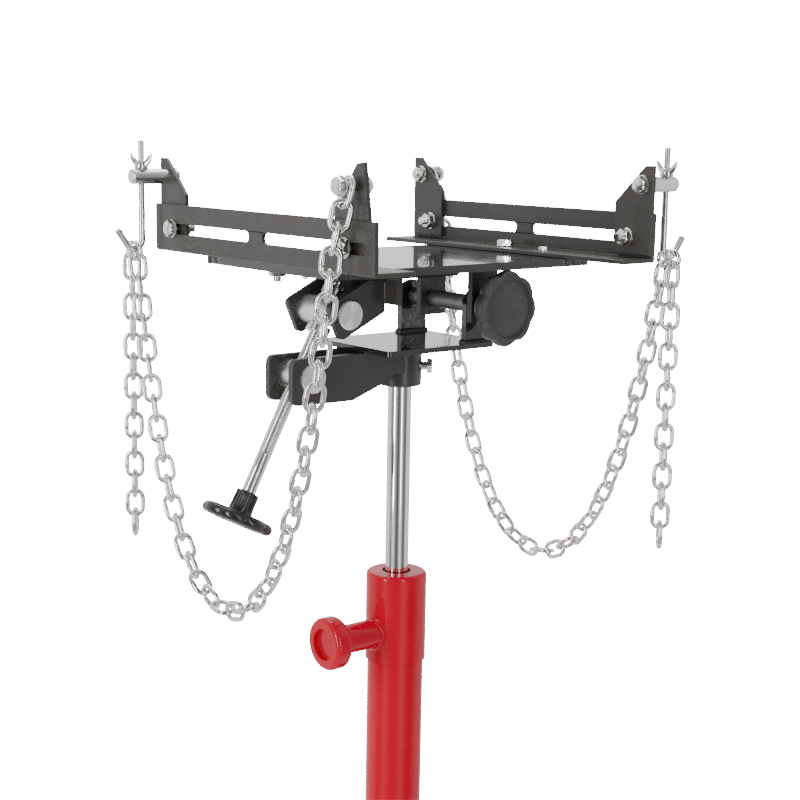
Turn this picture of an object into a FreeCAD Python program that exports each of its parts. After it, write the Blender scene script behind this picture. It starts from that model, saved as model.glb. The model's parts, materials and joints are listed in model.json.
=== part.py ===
import FreeCAD, Part
import math
import os
import re
import Sketcher
from FreeCAD import Placement, Rotation, Vector

# Vertical hydraulic transmission jack: wheeled base, foot pump, red lift cylinder, chrome ram,
# tilting saddle with two slotted rails, four uprights and two hold-down chains.
# Millimetres, +Z up, origin on the floor under the ram axis. X runs across the saddle, Y along
# its rails. Heights of the saddle group are counted from the top face of the deck.

doc = FreeCAD.newDocument("TransmissionJack")
sheet = doc.addObject("Spreadsheet::Sheet", "dims")

DRIVING = dict(
    deck_z=1238, deck_x=370, deck_y=244, deck_wall=5, deck_lip=9, deck_cy=4,
    rail_out=195, rail_length=414, left_rail_shift=11, rail_height=54.5, rail_wall=5, rail_flange=52,
    slot_height=12, slot_start=13, slot_end=192, slot_z=27,
    plate_wall=5, hole_ten=10.4,
    bar_dia=17.5, bar_length=48, rod_dia=8, rod_x=224, hook_radius=10.5, hook_z=14,
    link_wire=5.8, link_inner=24, link_width=24, link_pitch=23.4, chain_room=18, chain_offset=10.5,
    hinge_x=57, hinge_z=-52, hinge_dia=14, sleeve_dia=20, lobe_dia=20, lobe_reach=32.8,
    upper_x=-108, upper_z=-56, lower_x=-145, lower_z=-125, trunnion_dia=33,
    upper_gap=69, lower_gap=36, clevis_wall=8,
    screw_dia=17, thread_length=208, shank_dia=16, shank_length=72, wheel_dia=82, wheel_reach=218,
    yoke_z=-95, yoke_wall=6, yoke_x=156, yoke_y=133, collar_dia=50, collar_height=47,
    ram_dia=28, ram_sunk=547,
    cylinder_top=867, head_dia=72, head_height=107, tube_dia=67, tube_bore=56, tube_floor=42,
    leg_width=40, leg_height=30, leg_z=103, caster_reach=330,
    tyre_dia=75, tyre_width=24, axle_z=37.5, caster_trail=28,
)


def fill_sheet():
    for row, (alias, value) in enumerate(DRIVING.items(), start=1):
        sheet.set(f"A{row}", alias)
        sheet.set(f"B{row}", str(value))
        sheet.setAlias(f"B{row}", alias)
    doc.recompute()


fill_sheet()
nodes = []


def v(expression):
    """Value in millimetres of an expression over the sheet's aliases, or a plain number."""
    if not isinstance(expression, str):
        return float(expression)
    values = {alias: float(sheet.get(alias)) for alias in re.findall(r"[a-z]\w*", expression)}
    return float(sheet.evalExpression(bound(expression))) if values else float(expression)


def bound(expression):
    """The expression with each alias written as a cell of the sheet."""
    return re.sub(r"[a-z]\w*", r"dims.\g<0>", expression)


def drive(obj, **sizes):
    """Bind each size to the sheet where it is an expression, or set it where it is a number."""
    for name, size in sizes.items():
        if isinstance(size, str):
            obj.setExpression(name, bound(size))
        else:
            setattr(obj, name, size)
    return obj


def spot(at, direction=(0, 0, 1), roll=0.0):
    """Placement at a point, with local Z turned to a direction and rolled about it."""
    turn = Rotation(Vector(0, 0, 1), Vector(*direction))
    return Placement(Vector(*[v(c) for c in at]), turn * Rotation(Vector(0, 0, 1), roll))


def box(size, at, turn=0.0, about=(0, 0, 1)):
    """Box of three sizes whose lowest corner is at a point."""
    obj = drive(doc.addObject("Part::Box", "Box"), Length=size[0], Width=size[1], Height=size[2])
    obj.Placement = Placement(Vector(*[v(c) for c in at]), Rotation(Vector(*about), turn))
    return obj


def rod(dia, length, at, direction=(0, 0, 1)):
    """Round bar of a diameter and length, starting at a point."""
    obj = doc.addObject("Part::Cylinder", "Rod")
    drive(obj, Radius=f"({dia})/2" if isinstance(dia, str) else dia / 2, Height=length)
    obj.Placement = spot(at, direction)
    return obj


def cone(low_dia, high_dia, length, at, direction=(0, 0, 1)):
    obj = drive(doc.addObject("Part::Cone", "Cone"), Radius1=low_dia / 2, Radius2=high_dia / 2, Height=length)
    obj.Placement = spot(at, direction)
    return obj


def hexagon(across_flats, height, at, direction=(0, 0, 1), roll=0.0):
    obj = doc.addObject("Part::Prism", "Hexagon")
    drive(obj, Polygon=6, Circumradius=across_flats / math.sqrt(3), Height=height)
    obj.Placement = spot(at, direction, roll)
    return obj


def fuse(*shapes):
    if len(shapes) == 1:
        return shapes[0]
    obj = doc.addObject("Part::MultiFuse", "Joined")
    obj.Shapes = list(shapes)
    return obj


def cut(base, *tools):
    obj = doc.addObject("Part::Cut", "Cut")
    obj.Base = base
    obj.Tool = fuse(*tools)
    return obj


def group(*shapes):
    obj = doc.addObject("Part::Compound", "Group")
    obj.Links = list(shapes)
    return obj


def soften(base, size, wanted, kind="Part::Fillet"):
    """Round or bevel the edges of a part for which wanted(edge) is true."""
    doc.recompute()
    picked = [n for n, edge in enumerate(base.Shape.Edges, start=1) if wanted(edge)]
    obj = doc.addObject(kind, "Softened")
    obj.Base = base
    obj.Edges = [(n, size, size) for n in picked]
    return obj


def keep(obj, label, lift=0.0):
    """Name a finished sub-part and raise it by the height its group is counted from."""
    place = obj.Placement
    place.Base = place.Base + Vector(0, 0, v(lift))
    obj.Placement = place
    obj.Label = label
    nodes.append(obj)
    return obj


def solid(shape, label, lift=0.0):
    """A sub-part whose shape is made directly, for swept rods and rows of chain links."""
    obj = doc.addObject("Part::Feature", label)
    obj.Shape = shape
    return keep(obj, label, lift)


def own_plane(body, role):
    return next(f for f in body.Origin.OriginFeatures if f.Role == role)


def pin_point(sketch, geometry, which, point):
    """Fix a sketch point at expressions of the sheet, measured from the sketch origin."""
    for kind, value in (("DistanceX", point[0]), ("DistanceY", point[1])):
        index = sketch.addConstraint(Sketcher.Constraint(kind, -1, 1, geometry, which, v(value)))
        if isinstance(value, str):
            sketch.setExpression(f"Constraints[{index}]", bound(value))


def plate(label, plane, outline, thickness, holes=(), slots=()):
    """Flat plate: a padded sketch on a body's own plane, centred on it, with round holes
    (x, y, diameter) and straight slots (x from, x to, y, width)."""
    body = doc.addObject("PartDesign::Body", label + "Body")
    sketch = body.newObject("Sketcher::SketchObject", label + "Outline")
    sketch.AttachmentSupport = [(own_plane(body, plane), "")]
    sketch.MapMode = "FlatFace"
    corners = [Vector(v(x), v(y), 0) for x, y in outline]
    first = 0
    for n, corner in enumerate(corners):
        sketch.addGeometry(Part.LineSegment(corner, corners[(n + 1) % len(corners)]), False)
    for n in range(len(corners)):
        sketch.addConstraint(Sketcher.Constraint("Coincident", n, 2, (n + 1) % len(corners), 1))
        pin_point(sketch, n, 1, outline[n])
    for x, y, dia in holes:
        circle = Part.Circle(Vector(v(x), v(y), 0), Vector(0, 0, 1), v(dia) / 2)
        index = sketch.addGeometry(circle, False)
        pin_point(sketch, index, 3, (x, y))
        limit = sketch.addConstraint(Sketcher.Constraint("Diameter", index, v(dia)))
        if isinstance(dia, str):
            sketch.setExpression(f"Constraints[{limit}]", bound(dia))
    pad = body.newObject("PartDesign::Pad", label + "Pad")
    pad.Profile = sketch
    pad.Midplane = True
    drive(pad, Length=thickness)
    for n, (start, end, height, width) in enumerate(slots):
        slot_sketch = body.newObject("Sketcher::SketchObject", f"{label}Slot{n}")
        slot_sketch.AttachmentSupport = [(own_plane(body, plane), "")]
        slot_sketch.MapMode = "FlatFace"
        draw_slot(slot_sketch, v(start), v(end), v(height), v(width) / 2)
        pocket = body.newObject("PartDesign::Pocket", f"{label}SlotCut{n}")
        pocket.Profile = slot_sketch
        pocket.Midplane = True
        drive(pocket, Length=f"2 * ({thickness})" if isinstance(thickness, str) else 2 * thickness)
    return body


def draw_slot(sketch, start, end, height, radius):
    left = Vector(start + radius, height, 0)
    right = Vector(end - radius, height, 0)
    up = Vector(0, radius, 0)
    out = Vector(radius, 0, 0)
    sketch.addGeometry(Part.LineSegment(left + up, right + up), False)
    sketch.addGeometry(Part.Arc(right + up, right + out, right - up), False)
    sketch.addGeometry(Part.LineSegment(right - up, left - up), False)
    sketch.addGeometry(Part.Arc(left - up, left - out, left + up), False)


def bolt(dia, flats, grip, at, direction, washer=0.0, nut=True, spare=6.0, roll=0.0):
    """Hex bolt with its head at a point, its shank along a direction through a grip of plates,
    and washers and a nut, which are separate solids."""
    axis = Vector(*direction)
    start = Vector(*[v(c) for c in at])

    def along(distance):
        return tuple(start + axis * distance)

    head = hexagon(flats, 0.62 * dia, along(-washer - 0.62 * dia), direction, roll)
    end = grip + washer + (0.8 * dia + spare if nut else spare)
    shank = rod(dia, end + washer, along(-washer), direction)
    pieces = [fuse(head, shank)]
    if washer:
        ring = rod(dia * 2.1, washer, along(-washer), direction)
        pieces.append(cut(ring, rod(dia + 0.4, washer * 2, along(-washer * 1.5), direction)))
    if nut:
        if washer:
            ring = rod(dia * 2.1, washer, along(grip), direction)
            pieces.append(cut(ring, rod(dia + 0.4, washer * 2, along(grip - washer / 2), direction)))
        body = hexagon(flats, 0.8 * dia, along(grip + washer), direction, roll + 13)
        pieces.append(cut(body, rod(dia + 0.1, dia, along(grip + washer - 0.1 * dia), direction)))
    return pieces


# ---- Saddle: deck, rails and the bracket under the deck ----

RAIL_BOLT = (168, 8)
RAIL_PIN = (174, -52)


def make_deck():
    shell = box(("deck_x", "deck_y", "deck_lip"),
                ("-deck_x / 2", "deck_cy - deck_y / 2", "-deck_lip"))
    shell = soften(shell, 6.0, lambda e: abs(e.tangentAt(e.FirstParameter).z) > 0.9)
    hollow = box(("deck_x - 2 * deck_wall", "deck_y - 2 * deck_wall", "deck_lip"),
                 ("deck_wall - deck_x / 2", "deck_cy + deck_wall - deck_y / 2",
                  "-deck_wall - deck_lip"))
    holes = [rod(dia, 30, (side * x, y, -20))
             for side in (-1, 1) for (x, y), dia in ((RAIL_BOLT, 10.6), (RAIL_PIN, 6.4))]
    keep(cut(shell, hollow, *holes), "deck_plate", "deck_z")


def make_rail(label, side, shift):
    """Angle rail: slotted upright wall outside, flange turned inwards on the deck."""
    half = "rail_length / 2"
    wall = plate(label, "YZ_Plane",
                 (("-" + half, 0), (half, 0), (half, "rail_height"), ("-" + half, "rail_height")),
                 "rail_wall",
                 slots=(("slot_start", "slot_end", "slot_z", "slot_height"),
                        ("-slot_end", "-slot_start", "slot_z", "slot_height")))
    wall.Placement = Placement(Vector(side * v("rail_out - rail_wall / 2"), shift, 0), Rotation())
    left = "rail_out - rail_flange" if side > 0 else "-rail_out"
    flange = box(("rail_flange", "rail_length", "rail_wall"), (left, shift - v("rail_length / 2"), 0))
    holes = [rod(dia, 30, (side * x, y, -10)) for (x, y), dia in ((RAIL_BOLT, 10.6), (RAIL_PIN, 6.4))]
    angle = cut(fuse(wall, flange), *holes)
    outer = v("rail_out")
    keep(soften(angle, 4.0, lambda e: abs(abs(e.CenterOfMass.x) - outer) < 0.01
                and abs(e.CenterOfMass.z) < 0.01), label, "deck_z")


def make_rail_fasteners():
    pieces = []
    for side in (-1, 1):
        top = v("rail_wall")
        grip = v("rail_wall + deck_wall")
        pieces += bolt(10, 17, grip, (side * RAIL_BOLT[0], RAIL_BOLT[1], top), (0, 0, -1), 2.0)
        pieces += bolt(6, 10, grip, (side * RAIL_PIN[0], RAIL_PIN[1], top), (0, 0, -1), spare=3.0)
    keep(group(*pieces), "rail_bolts", "deck_z")


def make_deck_bracket():
    """Cross plate and two square hinge ears welded under the deck."""
    top = -v("deck_wall")
    low = v("hinge_z") - 19
    cross = box((8, 126, 42), (-58, -63, top - 42))
    ribs = [box((103, 6, 16), (-50, y, top - 16)) for y in (-39, 33)]
    ears = [box((38, 8, top - low), ("hinge_x - 19", y, low)) for y in (-79, 10)]
    bore = rod("hinge_dia + 0.2", 200, ("hinge_x", -100, "hinge_z"), (0, 1, 0))
    keep(cut(fuse(cross, *ribs, *ears), bore), "deck_bracket", "deck_z")


def make_upper_clevis():
    """Two cheek plates that slope down and outwards and carry the upper trunnion."""
    outline = ((-58, -56), (-58, -20), (-82, -20), (-136, -46), (-119, -85))
    hole = (("upper_x", "upper_z", "trunnion_dia + 0.12"),)
    cheeks = []
    for name, side in (("near", -1), ("far", 1)):
        cheek = plate(f"{name}_upper_cheek", "XZ_Plane", outline, "clevis_wall", hole)
        y = side * v("upper_gap + clevis_wall") / 2
        cheek.Placement = Placement(Vector(0, y, 0), Rotation())
        cheeks.append(soften(cheek, 7.0, lambda e: e.Curve.TypeId == "Part::GeomLine"
                             and abs(e.tangentAt(e.FirstParameter).y) > 0.9
                             and e.CenterOfMass.x < -110))
    keep(group(*cheeks), "upper_clevis", "deck_z")


# ---- Uprights with their bolts, tension bars, hooks and wing nuts ----

UPRIGHTS = (
    ("left_far", -1, 1, 180, 0.0),
    ("left_near", -1, -1, 148, 9.0),
    ("right_far", 1, 1, 167, 0.0),
    ("right_near", 1, -1, 173, 0.0),
)
CHAIN_HOLE = (20, 59)
BOLT_RADIUS = 5
WING_TURN = dict(left_far=114, right_near=90)


def upright_place(side, end, reach, lean):
    """Where an upright's lower bolt crosses the middle of its plate, and how far it leans."""
    x = side * v("rail_out - rail_wall - plate_wall / 2")
    turn = Rotation(Vector(1, 0, 0), end * lean)
    return Placement(Vector(x, end * reach, v("slot_z")), turn)


def make_upright(name, side, end, reach, lean):
    outline = [(end * u, w) for u, w in ((-20, -19), (35, -19), (35, 80), (23, 80), (-20, 39))]
    holes = ((0, 0, "hole_ten"), (end * CHAIN_HOLE[0], CHAIN_HOLE[1], "hole_ten"))
    body = plate(f"{name}_upright", "YZ_Plane", outline, "plate_wall", holes)
    body.Placement = upright_place(side, end, reach, lean)
    keep(body, f"{name}_upright", "deck_z")


def make_upright_bolts(name, side, end, reach, lean):
    """Clamp bolt through the rail's slot, and the bolt that holds the chain or the bar."""
    place = upright_place(side, end, reach, lean)
    wall = v("plate_wall")
    rail = v("rail_wall")
    outward = Vector(side, 0, 0)
    inward = (-side, 0, 0)
    low = place.multVec(Vector(0, 0, 0)) + outward * (wall / 2 + rail)
    high = place.multVec(Vector(0, end * CHAIN_HOLE[0], CHAIN_HOLE[1]))
    pieces = bolt(10, 17, wall + rail, tuple(low), inward, 2.0, spare=8.0)
    if name in ("left_far", "right_near"):
        inner = tuple(high - outward * (wall / 2))
        pieces += bolt(10, 17, wall, inner, (side, 0, 0), 2.0, nut=False, spare=16.0)
    else:
        room = v("chain_room")
        outer = tuple(high + outward * (wall / 2 + room))
        pieces += bolt(10, 17, wall + room, outer, inward, 2.0, spare=4.0)
    keep(group(*pieces), f"{name}_bolts", "deck_z")


def bar_centre(side, end, reach):
    """Centre line of a tension bar: its outer face of the upright, and its height."""
    x = side * v("rail_out - rail_wall")
    return Vector(x, end * (reach + CHAIN_HOLE[0]), v("slot_z") + CHAIN_HOLE[1])


def make_tension_bar(name, side, end, reach):
    start = bar_centre(side, end, reach)
    bar = rod("bar_dia", "bar_length", tuple(start), (side, 0, 0))
    tip = v("rail_out - rail_wall + bar_length")
    bar = soften(bar, 2.5, lambda e: abs(abs(e.CenterOfMass.x) - tip) < 0.1)
    rod_hole = rod("rod_dia + 0.8", 40, (side * v("rod_x"), start.y, start.z - 20))
    bolt_hole = rod(10.1, 19, tuple(start), (side, 0, 0))
    keep(cut(bar, rod_hole, bolt_hole), f"{name}_tension_bar", "deck_z")


def make_chain_hook(name, side, end, reach):
    """Threaded J rod through the tension bar: straight, a bend outwards and up, a short tip."""
    start = bar_centre(side, end, reach)
    x = side * v("rod_x")
    radius = v("hook_radius")
    centre = Vector(x + side * radius, start.y, v("hook_z"))

    def around(angle):
        turn = math.radians(angle)
        return centre + Vector(-side * radius * math.cos(turn), 0, -radius * math.sin(turn))

    top = Vector(x, start.y, 127)
    bend, belly, rise = around(0), around(75), around(145)
    tip = rise + Vector(side * math.sin(math.radians(35)), 0, math.cos(math.radians(35))) * 22
    path = Part.Wire([Part.LineSegment(top, bend).toShape(),
                      Part.Arc(bend, belly, rise).toShape(),
                      Part.LineSegment(rise, tip).toShape()])
    section = Part.Wire(Part.makeCircle(v("rod_dia") / 2, top, Vector(0, 0, -1)))
    solid(path.makePipeShell([section], True, False, 2), f"{name}_chain_hook", "deck_z")


def make_wing_nut(name, side, end, reach):
    """Wing nut on the J rod, down on the tension bar, its wings turned to where it was left."""
    start = bar_centre(side, end, reach)
    x = side * v("rod_x")
    base = start.z + v("bar_dia") / 2
    hub = cone(16, 12, 9, (x, start.y, base))
    wings = []
    for turn in (-1, 1):
        outline = [(turn * u, w) for u, w in ((3, 1), (13, 6), (17, 14), (13, 18), (8, 14), (4, 8))]
        wing = plate(f"{name}_wing_{turn + 1}", "YZ_Plane", outline, 2.6)
        wing.Placement = Placement(Vector(x, start.y, base), Rotation(Vector(0, 0, 1), WING_TURN[name]))
        wings.append(wing)
    bore = rod("rod_dia + 0.1", 30, (x, start.y, base - 2))
    keep(cut(fuse(hub, *wings), bore), f"{name}_wing_nut", "deck_z")


# ---- Chains: rows of separate steel links ----

def link_shape():
    """One welded link, long axis along local Z, flat normal along local X."""
    wire = v("link_wire") / 2
    bend = v("link_width") / 2 - wire
    straight = v("link_inner") / 2 + wire - bend
    pieces = []
    for end in (-1, 1):
        arc = Part.makeTorus(bend, wire, Vector(0, 0, end * straight), Vector(1, 0, 0))
        half = Part.makeBox(4 * bend, 4 * bend, 4 * bend, Vector(-2 * bend, -2 * bend, 0))
        flip = Rotation(Vector(1, 0, 0), 0 if end > 0 else 180)
        half.Placement = Placement(Vector(0, 0, end * straight), flip)
        pieces.append(arc.common(half))
        side = Vector(0, end * bend, -straight)
        pieces.append(Part.makeCylinder(wire, 2 * straight, side, Vector(0, 0, 1)))
    return pieces[0].fuse(pieces[1:]).removeSplitter()


def catenary(start, end, length, arcs):
    """Points and directions, at distances along it, of a chain hung between two points."""
    run = Vector(end.x - start.x, end.y - start.y, 0)
    span = run.Length
    rise = end.z - start.z
    low, high = span / 200, span * 20
    for _ in range(200):
        sag = (low + high) / 2
        if 2 * sag * math.sinh(span / 2 / sag) > math.sqrt(length ** 2 - rise ** 2):
            low = sag
        else:
            high = sag
    middle = span / 2 - sag * math.asinh(rise / (2 * sag * math.sinh(span / 2 / sag)))
    first = sag * math.sinh(-middle / sag)
    points = []
    for distance in arcs:
        arc = first + distance
        across = middle + sag * math.asinh(arc / sag)
        height = sag * (math.cosh((across - middle) / sag) - math.cosh(middle / sag))
        place = start + run * (across / span) + Vector(0, 0, height)
        slope = Vector(run.x / span, run.y / span, arc / sag)
        points.append((place, slope.normalize()))
    return points


HELD_TWIST = 6
FREE_TWIST = 38
WOBBLE = 3


def loop_twists(count):
    """How far each link of a loop is twisted about it: one way at the bolt and the other way at
    the hook, but little in the two links that are held."""
    turns = [FREE_TWIST * (1 - 2 * n / (count - 1)) for n in range(count)]
    return [HELD_TWIST] + turns[1:-1] + [-HELD_TWIST]


def row_of_links(points, twist, first=0):
    """Links centred on the points, each a quarter turn on from the last, with its own twist."""
    link = link_shape()
    shapes = []
    for n, (place, direction) in enumerate(points, start=first):
        side = Vector(1, 0, 0)
        flat = side - direction * side.dot(direction)
        flat.normalize()
        frame = Rotation(flat, direction.cross(flat), direction, "ZXY")
        angle = 90 * (n % 2) + twist[n] + WOBBLE * math.sin(2.4 * n)
        copy = link.copy()
        copy.Placement = Placement(place, frame * Rotation(Vector(0, 0, 1), angle))
        shapes.append(copy)
    return Part.makeCompound(shapes)


LOOP_COUNT = 42
TAIL_COUNT = 14
CHAINS = (
    ("left", -1, "left_near", "left_far"),
    ("right", 1, "right_far", "right_near"),
)
SLACK = 0.3
DRAPED_LINKS = 3
DRAPE = 18


def loop_route(start, end, clamp_y):
    """Middles of a loop's links: the first few lie over the head of the clamp bolt below the
    chain bolt, and the rest hang from there to the hook."""
    pitch = v("link_pitch")
    tip = v("link_inner + link_wire") / 2
    run = tip + pitch * (DRAPED_LINKS - 0.5)
    across = math.copysign(DRAPE, start.x)
    along = (clamp_y - start.y) / 3
    knee = start + Vector(across, along, -math.sqrt(run ** 2 - across ** 2 - along ** 2))
    way = (knee - start).normalize()
    draped = [(start + way * (tip + pitch * n), way) for n in range(DRAPED_LINKS)]
    length = pitch * (LOOP_COUNT - 1) + 2 * tip - run
    arcs = [pitch * (n + 0.5) for n in range(LOOP_COUNT - DRAPED_LINKS)]
    return draped + catenary(knee, end, length, arcs)


def make_chain(name, side, held, hooked):
    """A loop from a bolt to the link on a J hook in two halves, and that link with the spare tail."""
    rows = {row[0]: row[1:] for row in UPRIGHTS}
    held_end = rows[held][1]
    bolt_at = upright_place(*rows[held]).multVec(Vector(0, held_end * CHAIN_HOLE[0], CHAIN_HOLE[1]))
    wire = v("link_wire") / 2
    width = v("link_width")
    start = bolt_at + Vector(side * v("chain_offset"), 0, BOLT_RADIUS + wire + SLACK)
    _, hooked_end, reach, _ = rows[hooked]
    rod_top = v("hook_z - hook_radius + rod_dia / 2")
    on_hook = Vector(side * v("rod_x + hook_radius"), hooked_end * (reach + CHAIN_HOLE[0]),
                     rod_top + SLACK + 2 * wire - width / 2)
    straight = v("(link_inner + 2 * link_wire - link_width) / 2")
    beside = Vector(0, hooked_end * straight, 3 * wire + SLACK / 2 - width / 2)
    pitch = v("link_pitch")
    tip = v("link_inner + link_wire") / 2
    clamp_y = held_end * rows[held][2]
    points = loop_route(start, on_hook + Vector(0, -beside.y, beside.z), clamp_y)
    twist = loop_twists(LOOP_COUNT)
    half = LOOP_COUNT // 2
    solid(row_of_links(points[:half], twist), f"{name}_chain_bolt_half", "deck_z")
    solid(row_of_links(points[half:], twist, half), f"{name}_chain_hook_half", "deck_z")
    top = on_hook + beside - Vector(0, 0, tip)
    tail = [(on_hook, Vector(0, 1, 0))]
    tail += [(top - Vector(0, 0, pitch * n), Vector(0, 0, -1)) for n in range(TAIL_COUNT)]
    twist = [0, HELD_TWIST] + [FREE_TWIST] * (TAIL_COUNT - 1)
    solid(row_of_links(tail, twist), f"{name}_chain_tail", "deck_z")


# ---- Hinge rod, knob, trunnions and tilting screw ----

def make_hinge():
    rod_part = rod("hinge_dia", 184, ("hinge_x", -114, "hinge_z"), (0, 1, 0))
    keep(rod_part, "hinge_rod", "deck_z")
    sleeves = []
    for start, length in ((-61.5, 71), (18.5, 26)):
        tube = rod("sleeve_dia", length, ("hinge_x", start, "hinge_z"), (0, 1, 0))
        inside = rod("hinge_dia + 0.6", length + 4, ("hinge_x", start - 2, "hinge_z"), (0, 1, 0))
        sleeves.append(cut(tube, inside))
    keep(group(*sleeves), "hinge_sleeves", "deck_z")
    end_nut = hexagon(22, 11, ("hinge_x", 53.5, "hinge_z"), (0, 1, 0))
    washer = rod(30, 0.8, ("hinge_x", -79.9, "hinge_z"), (0, 1, 0))
    bore = rod("hinge_dia + 0.1", 200, ("hinge_x", -100, "hinge_z"), (0, 1, 0))
    keep(group(cut(end_nut, bore), cut(washer, bore)), "hinge_nut_and_washer", "deck_z")


def make_clamp_knob():
    """Eight-lobed star knob with a recessed face, on the near end of the hinge rod."""
    x, z = v("hinge_x"), v("hinge_z")
    near = -122
    rim = 16
    reach = v("lobe_reach")
    core = rod(80, rim, (x, near, z), (0, 1, 0))
    lobes = []
    for n in range(8):
        angle = math.radians(45 * n + 4)
        across, up = reach * math.cos(angle), reach * math.sin(angle)
        lobes.append(rod("lobe_dia", rim, (x + across, near, z + up), (0, 1, 0)))
    hub = cone(46, 34, 26, (x, near + rim, z), (0, 1, 0))
    head = fuse(core, *lobes, hub)
    face = rod(66, 2.2, (x, near - 0.2, z), (0, 1, 0))
    bore = rod("hinge_dia + 0.2", 60, (x, near + 8, z), (0, 1, 0))
    keep(cut(head, face, bore), "clamp_knob", "deck_z")


def screw_frame():
    """Middle of the upper trunnion, and the direction from it down the screw."""
    upper = Vector(v("upper_x"), 0, v("upper_z"))
    lower = Vector(v("lower_x"), 0, v("lower_z"))
    return upper, (lower - upper).normalize()


def make_trunnions():
    upper, down = screw_frame()
    lower = Vector(v("lower_x"), 0, v("lower_z"))
    length = v("upper_gap + 2 * clevis_wall") + 10
    barrel = rod("trunnion_dia", length, (upper.x, -length / 2, upper.z), (0, 1, 0))
    barrel = soften(barrel, 1.5, lambda e: e.Curve.TypeId == "Part::GeomCircle", "Part::Chamfer")
    bore = rod("screw_dia + 0.2", 80, tuple(upper - down * 40), tuple(down))
    keep(cut(barrel, bore), "upper_trunnion", "deck_z")
    length = v("lower_gap + 2 * clevis_wall") + 10
    barrel = rod("trunnion_dia", length, (lower.x, -length / 2, lower.z), (0, 1, 0))
    barrel = soften(barrel, 1.5, lambda e: e.Curve.TypeId == "Part::GeomCircle", "Part::Chamfer")
    bore = rod("screw_dia + 4.4", 80, tuple(lower - down * 40), tuple(down))
    keep(cut(barrel, bore), "lower_trunnion", "deck_z")


def make_screw():
    """Tilting screw with two pinned collars at the upper trunnion, and its handwheel."""
    upper, down = screw_frame()
    top = upper - down * 36
    thread = rod("screw_dia", "thread_length", tuple(top), tuple(down))
    thread = soften(thread, 1.5, lambda e: (e.CenterOfMass - upper).Length < 60, "Part::Chamfer")
    shank = rod("shank_dia", "shank_length", tuple(top + down * v("thread_length")), tuple(down))
    keep(fuse(thread, shank), "tilt_screw", "deck_z")
    collars = []
    for distance in (-26.5, 17.5):
        ring = rod(27, 9, tuple(upper + down * distance), tuple(down))
        inside = rod("screw_dia + 0.1", 20, tuple(upper + down * (distance - 5)), tuple(down))
        collars.append(cut(ring, inside))
    keep(group(*collars), "screw_collars", "deck_z")
    hub_start = upper + down * v("wheel_reach")
    hub = cone(26, 27.5, 24, tuple(hub_start), tuple(down))
    rim = cut(rod("wheel_dia - 6", 13, tuple(hub_start + down * 24), tuple(down)),
              rod(56, 5, tuple(hub_start + down * 33), tuple(down)))
    knobs = []
    reach = (v("wheel_dia") - 19) / 2
    turn = Rotation(Vector(0, 0, 1), down)
    for n in range(8):
        angle = math.radians(45 * n)
        arm = turn.multVec(Vector(reach * math.cos(angle), reach * math.sin(angle), 0))
        knobs.append(rod(19, 13, tuple(hub_start + down * 24 + arm), tuple(down)))
    bore = rod("shank_dia + 0.1", 45, tuple(hub_start - down * 5), tuple(down))
    keep(cut(fuse(hub, rim, *knobs), bore), "handwheel", "deck_z")


# ---- Yoke on the ram: plate with hinge lugs, collar and lower clevis ----

def make_yoke_plate():
    top = v("yoke_z")
    sheet_plate = box(("yoke_x", "yoke_y", "yoke_wall"), ("-yoke_x / 2", -76, "yoke_z - yoke_wall"))
    sheet_plate = soften(sheet_plate, 5.0, lambda e: abs(e.tangentAt(e.FirstParameter).z) > 0.9)
    lugs = []
    for y in (-70, 45):
        lugs.append(fuse(box((38, 8, v("hinge_z") - top), ("hinge_x - 19", y, "yoke_z")),
                         rod(38, 8, ("hinge_x", y, "hinge_z"), (0, 1, 0))))
    bore = rod("hinge_dia + 0.2", 200, ("hinge_x", -100, "hinge_z"), (0, 1, 0))
    keep(cut(fuse(sheet_plate, *lugs), bore), "yoke_plate", "deck_z")


def make_collar():
    low = "yoke_z - yoke_wall - collar_height"
    barrel = rod("collar_dia", "collar_height", (0, 0, low))
    barrel = soften(barrel, 2.0, lambda e: abs(e.CenterOfMass.z - v(low)) < 0.1
                    and e.Curve.TypeId == "Part::GeomCircle")
    bore = rod("ram_dia + 0.1", "collar_height + 10", (0, 0, v(low) - 5))
    hole = rod(10.1, 40, (0, 0, v(low) + 22), SET_BOLT_WAY)
    keep(cut(barrel, bore, hole), "ram_collar", "deck_z")


SET_BOLT_WAY = (0.78, -0.62, 0)


def make_set_bolt():
    low = v("yoke_z - yoke_wall - collar_height")
    way = Vector(*SET_BOLT_WAY).normalize()
    inner = v("ram_dia") / 2 + 0.2
    outer = 31
    shank = rod(10, outer - inner, tuple(way * inner + Vector(0, 0, low + 22)), tuple(way))
    head = hexagon(17, 8, tuple(way * outer + Vector(0, 0, low + 22)), tuple(way), 17)
    keep(fuse(shank, head), "collar_set_bolt", "deck_z")


def make_lower_clevis():
    outline = ((-14, -103), (-171, -103), (-171, -154), (-89, -155), (-49, -141), (-30, -131), (-14, -131))
    hole = (("lower_x", "lower_z", "trunnion_dia + 0.12"),)
    cheeks = []
    low = v("yoke_z - yoke_wall - collar_height") - 5
    for name, side in (("near", -1), ("far", 1)):
        cheek = plate(f"{name}_lower_cheek", "XZ_Plane", outline, "clevis_wall", hole)
        y = side * v("lower_gap + clevis_wall") / 2
        cheek.Placement = Placement(Vector(0, y, 0), Rotation())
        rounded = soften(cheek, 9.0, lambda e: e.Curve.TypeId == "Part::GeomLine"
                         and abs(e.tangentAt(e.FirstParameter).y) > 0.9
                         and e.CenterOfMass.x < -150)
        cheeks.append(cut(rounded, rod("collar_dia + 0.02", 80, (0, 0, low))))
    keep(group(*cheeks), "lower_clevis", "deck_z")


# ---- Hydraulic lift: ram, cylinder and its seals ----

WIPER_TOP = 101


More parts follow.
